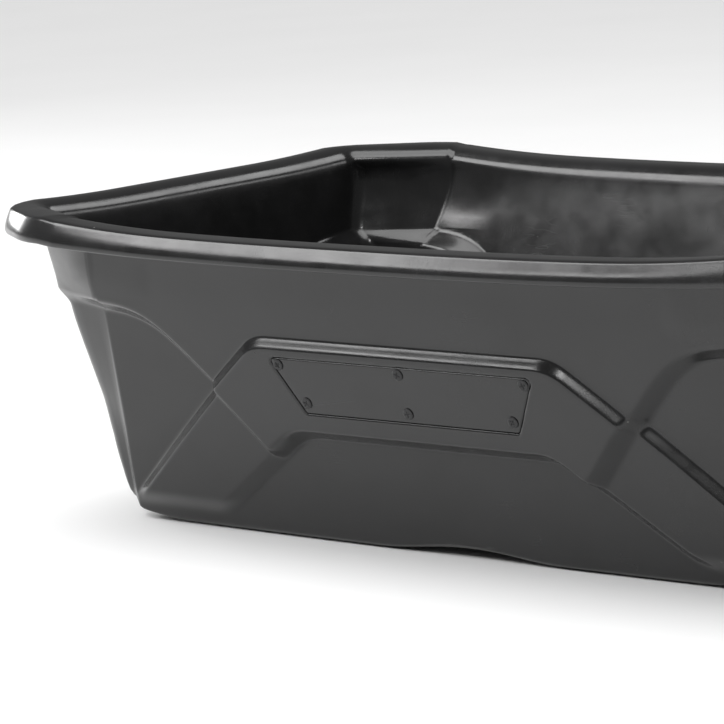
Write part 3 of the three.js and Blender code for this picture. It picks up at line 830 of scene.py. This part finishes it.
# ---------------------------------------------------------------- materials
class Nodes:
    """A material's node tree, with short calls to add and link nodes."""

    def __init__(self, name):
        self.mat = bpy.data.materials.new(name)
        self.mat.use_nodes = True
        self.tree = self.mat.node_tree
        self.tree.nodes.clear()
        self.out = self.add("ShaderNodeOutputMaterial")
        self.bsdf = self.add("ShaderNodeBsdfPrincipled")
        self.link(self.bsdf.outputs[0], self.out.inputs[0])
        self.coord = self.add("ShaderNodeTexCoord").outputs["Object"]

    def add(self, kind, **props):
        n = self.tree.nodes.new(kind)
        for k, v in props.items():
            setattr(n, k, v)
        return n

    def link(self, a, b):
        self.tree.links.new(a, b)

    def scaled(self, x, y, z):
        n = self.add("ShaderNodeMapping")
        n.inputs["Scale"].default_value = (x, y, z)
        self.link(self.coord, n.inputs["Vector"])
        return n.outputs[0]

    def noise(self, scale, detail=2.0, rough=0.5, vector=None, distortion=0.0):
        n = self.add("ShaderNodeTexNoise")
        n.inputs["Scale"].default_value = scale
        n.inputs["Detail"].default_value = detail
        n.inputs["Roughness"].default_value = rough
        n.inputs["Distortion"].default_value = distortion
        self.link(vector or self.coord, n.inputs["Vector"])
        return n.outputs["Fac"]

    def range(self, value, a, b, c, d, kind="SMOOTHSTEP"):
        n = self.add("ShaderNodeMapRange", interpolation_type=kind)
        self.link(value, n.inputs["Value"])
        for name, v in (("From Min", a), ("From Max", b), ("To Min", c), ("To Max", d)):
            n.inputs[name].default_value = v
        return n.outputs["Result"]

    def math(self, op, a, b=None, c=None):
        n = self.add("ShaderNodeMath", operation=op)
        for i, v in enumerate((a, b, c)):
            if v is None:
                continue
            if hasattr(v, "links"):
                self.link(v, n.inputs[i])
            else:
                n.inputs[i].default_value = v
        return n.outputs[0]

    def mix(self, fac, a, b):
        n = self.add("ShaderNodeMix", data_type="RGBA")
        for socket, v in ((n.inputs[0], fac), (n.inputs[6], a), (n.inputs[7], b)):
            if hasattr(v, "links"):
                self.link(v, socket)
            else:
                socket.default_value = v if not hasattr(v, "__len__") else (*v, 1.0)
        return n.outputs[2]

    def bump(self, height, distance, normal=None, strength=1.0):
        n = self.add("ShaderNodeBump")
        n.inputs["Strength"].default_value = strength
        n.inputs["Distance"].default_value = distance
        self.link(height, n.inputs["Height"])
        if normal:
            self.link(normal, n.inputs["Normal"])
        return n.outputs[0]


def moulded_plastic(name, tone=0.013, rough=0.2, specks=0.6):
    """Black polyethylene from a mould: faint mottling, a fine skin texture, slow waves, dust, small scuffs and worn edges."""
    n = Nodes(name)
    broad = n.noise(9.0, 3.0, 0.55)
    mottle = n.noise(46.0, 3.0, 0.6)
    fine = n.noise(420.0, 3.0, 0.62)
    base = n.mix(n.range(broad, 0.3, 0.7, 0, 1), (tone * 0.86,) * 3, (tone * 1.16, tone * 1.17, tone * 1.2))
    base = n.mix(n.math("MULTIPLY", n.range(mottle, 0.35, 0.75, 0, 1), 0.35), base, (tone * 1.5, tone * 1.5, tone * 1.53))
    # pale dust, gathered in soft patches
    dust_at = n.math("MULTIPLY", n.range(n.noise(6.0, 4.0, 0.65), 0.5, 0.8, 0, 1), n.range(n.noise(1300.0, 1.0, 0.5), 0.58, 0.78, 0, 1))
    base = n.mix(n.math("MULTIPLY", dust_at, 0.05), base, (0.35, 0.35, 0.34))
    # scattered specks
    cells = n.add("ShaderNodeTexVoronoi", feature="F1")
    cells.inputs["Scale"].default_value = 62.0
    cells.inputs["Randomness"].default_value = 1.0
    n.link(n.coord, cells.inputs["Vector"])
    pick = n.add("ShaderNodeSeparateColor")
    n.link(cells.outputs["Color"], pick.inputs[0])
    size = n.range(pick.outputs[1], 0.0, 1.0, 0.018, 0.05, "LINEAR")
    dot = n.math("MULTIPLY", n.math("LESS_THAN", cells.outputs["Distance"], size), n.math("GREATER_THAN", pick.outputs[0], 0.955))
    base = n.mix(n.math("MULTIPLY", dot, 0.55 * specks), base, (0.3, 0.3, 0.29))
    # short scuffs in a few directions
    scuffs = None
    for k, (scale, turn) in enumerate((((14, 14, 520), (0.2, 0.1, 0.3)), ((420, 16, 26), (0.1, 0.5, 0.8)), ((24, 460, 18), (0.7, 0.2, 0.4)))):
        mp = n.add("ShaderNodeMapping")
        mp.inputs["Scale"].default_value = scale
        mp.inputs["Rotation"].default_value = turn
        mp.inputs["Location"].default_value = (k * 3.1, k * 1.7, k * 2.3)
        n.link(n.coord, mp.inputs["Vector"])
        t = n.noise(1.0, 2.0, 0.5, mp.outputs[0])
        line = n.range(n.math("ABSOLUTE", n.math("SUBTRACT", t, 0.5)), 0.0, 0.012, 1, 0)
        where = n.range(n.noise(11.0 + 3 * k, 2.0, 0.5), 0.62, 0.72, 0, 1)
        line = n.math("MULTIPLY", line, where)
        scuffs = line if scuffs is None else n.math("MAXIMUM", scuffs, line)
    base = n.mix(n.math("MULTIPLY", scuffs, 0.05), base, (0.16, 0.16, 0.16))
    # edges polished and slightly paler with use
    edge = n.range(n.add("ShaderNodeNewGeometry").outputs["Pointiness"], 0.53, 0.62, 0, 1)
    base = n.mix(n.math("MULTIPLY", edge, 0.3), base, (tone * 2.6,) * 3)
    n.link(base, n.bsdf.inputs["Base Color"])
    r = n.range(mottle, 0.3, 0.7, rough - 0.035, rough + 0.045, "LINEAR")
    r = n.math("ADD", r, n.range(broad, 0.3, 0.7, -0.03, 0.03, "LINEAR"))
    r = n.math("ADD", r, n.math("MULTIPLY", scuffs, 0.03))
    r = n.math("ADD", r, n.math("MULTIPLY", dot, 0.3))
    n.link(r, n.bsdf.inputs["Roughness"])
    waves = n.noise(17.0, 1.0, 0.4)
    normal = n.bump(waves, 0.0006)
    normal = n.bump(n.noise(120.0, 2.0, 0.5), 0.00003, normal)
    normal = n.bump(fine, 0.000015, normal)
    normal = n.bump(n.math("SUBTRACT", dot, n.math("MULTIPLY", scuffs, 0.2)), 0.00002, normal)
    n.link(normal, n.bsdf.inputs["Normal"])
    n.bsdf.inputs["IOR"].default_value = 1.51
    return n.mat


def coated_steel(name, tone, rough, metallic, grain):
    """Small metal parts: brushed or coated, with tone and gloss that vary and a paler rim where the coating has rubbed."""
    n = Nodes(name)
    a = n.noise(700.0, 4.0, 0.6)
    streak = n.noise(1.0, 3.0, 0.6, n.scaled(grain, grain * 0.08, grain))
    base = n.mix(n.range(a, 0.3, 0.7, 0, 1), tuple(0.8 * t for t in tone), tuple(min(1.0, 1.15 * t) for t in tone))
    base = n.mix(n.math("MULTIPLY", n.range(streak, 0.4, 0.7, 0, 1), 0.3), base, tuple(0.7 * t for t in tone))
    edge = n.range(n.add("ShaderNodeNewGeometry").outputs["Pointiness"], 0.53, 0.64, 0, 1)
    base = n.mix(n.math("MULTIPLY", edge, 0.35), base, tuple(min(1.0, 1.9 * t + 0.02) for t in tone))
    n.link(base, n.bsdf.inputs["Base Color"])
    n.link(n.range(streak, 0.3, 0.7, rough - 0.06, rough + 0.1, "LINEAR"), n.bsdf.inputs["Roughness"])
    normal = n.bump(streak, 0.00002)
    normal = n.bump(a, 0.00002, normal)
    n.link(normal, n.bsdf.inputs["Normal"])
    n.bsdf.inputs["Metallic"].default_value = metallic
    return n.mat


LOOKS = {
    "hull": (moulded_plastic("hull_plastic"), "hull_plastic"),
    "plate": (moulded_plastic("plate_plastic", 0.014, 0.19, 0.5), "plate_plastic"),
    "screw": (coated_steel("screw_steel", (0.035, 0.035, 0.036), 0.34, 0.5, 300.0), "screw_steel"),
    "eyelet": (coated_steel("eyelet_metal", (0.62, 0.62, 0.61), 0.3, 1.0, 500.0), "eyelet_metal"),
    "washer": (coated_steel("washer_metal", (0.55, 0.55, 0.56), 0.36, 1.0, 500.0), "washer_metal"),
}
for kind, obs in pieces.items():
    mat, slot = LOOKS[kind]
    for ob in obs:
        for v in ob.data.vertices:
            v.co = [min(max(c, lo), hi) for c, lo, hi in zip(v.co, CAD_BOX[0], CAD_BOX[1])]
        ob.data.materials.clear()
        ob.data.materials.append(mat)
        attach(ob, "root")

# ---------------------------------------------------------------- floor, light and camera
fn = Nodes("floor_paper")
tint = fn.noise(3.0, 3.0, 0.5)
fn.link(fn.mix(tint, (0.88, 0.88, 0.88), (0.92, 0.92, 0.92)), fn.bsdf.inputs["Base Color"])
fn.bsdf.inputs["Roughness"].default_value = 0.8
bm = bmesh.new()
bmesh.ops.create_grid(bm, x_segments=24, y_segments=24, size=9.0)
me = bpy.data.meshes.new("floor")
bm.to_mesh(me)
bm.free()
me.materials.append(fn.mat)
floor = bpy.data.objects.new("floor", me)
floor.location.z = -0.0004
bpy.context.scene.collection.objects.link(floor)

world = bpy.data.worlds.new("studio")
bpy.context.scene.world = world
world.use_nodes = True
world.node_tree.nodes["Background"].inputs[0].default_value = (1.0, 1.0, 1.0, 1.0)
world.node_tree.nodes["Background"].inputs[1].default_value = 0.16
sun = bpy.data.lights.new("ceiling", "SUN")
sun.energy, sun.angle = 2.2, math.radians(50)
ceiling = bpy.data.objects.new("ceiling", sun)
ceiling.rotation_mode = "QUATERNION"
ceiling.rotation_quaternion = Vector((-0.1, -0.25, 1.0)).to_track_quat("Z", "Y")
bpy.context.scene.collection.objects.link(ceiling)


def panel(name, azimuth, elevation, distance, width, height, radiance):
    """A soft panel light aimed at the middle of the sled. Azimuth 0 is +X and 90 is +Y."""
    a, el = math.radians(azimuth), math.radians(elevation)
    away = Vector((math.cos(a) * math.cos(el), math.sin(a) * math.cos(el), math.sin(el)))
    data = bpy.data.lights.new(name, "AREA")
    data.shape, data.size, data.size_y = "RECTANGLE", width, height
    data.energy = radiance * math.pi * width * height
    ob = bpy.data.objects.new(name, data)
    ob.location = Vector((0, 0, 0.15)) + away * distance
    ob.rotation_mode = "QUATERNION"
    ob.rotation_quaternion = away.to_track_quat("Z", "Y")
    bpy.context.scene.collection.objects.link(ob)
    return ob


panel("key_panel", 214, 38, 3.4, 1.3, 1.0, 7.2)
panel("skirt_panel", 221, 27, 3.4, 1.8, 0.3, 8.5)
panel("left_low_panel", 169, 9, 3.4, 0.8, 0.7, 9.0)
panel("front_small_panel", 285, 38, 3.2, 0.6, 0.6, 18.0)
panel("back_panel", 75, 40, 3.2, 1.8, 0.8, 4.5)
panel("back_low_panel", 48, 18, 3.4, 1.0, 0.4, 4.0)
panel("top_panel", 270, 64, 3.4, 1.6, 1.4, 1.2)

FOCAL_PX = 4199.1
cam = bpy.data.cameras.new("camera")
cam.sensor_fit, cam.sensor_width = "HORIZONTAL", 36.0
cam.lens = FOCAL_PX / 724 * 36.0
cam.clip_start, cam.clip_end = 0.05, 60.0
camera = bpy.data.objects.new("camera", cam)
RIGHT = Vector((0.7480032, 0.6612324, -0.0571219))
UP = Vector((-0.0626647, 0.1560449, 0.9857602))
FORWARD = Vector((-0.6607302, 0.7337722, -0.1581580))
rot = Matrix((RIGHT, UP, -FORWARD)).transposed()
camera.matrix_world = Matrix.Translation((1.956503, -2.431205, 0.634299)) @ rot.to_4x4()
bpy.context.scene.collection.objects.link(camera)
bpy.context.scene.camera = camera
bpy.context.scene.view_settings.view_transform = "Standard"
bpy.context.scene.view_settings.look = "None"

bpy.context.view_layer.update()
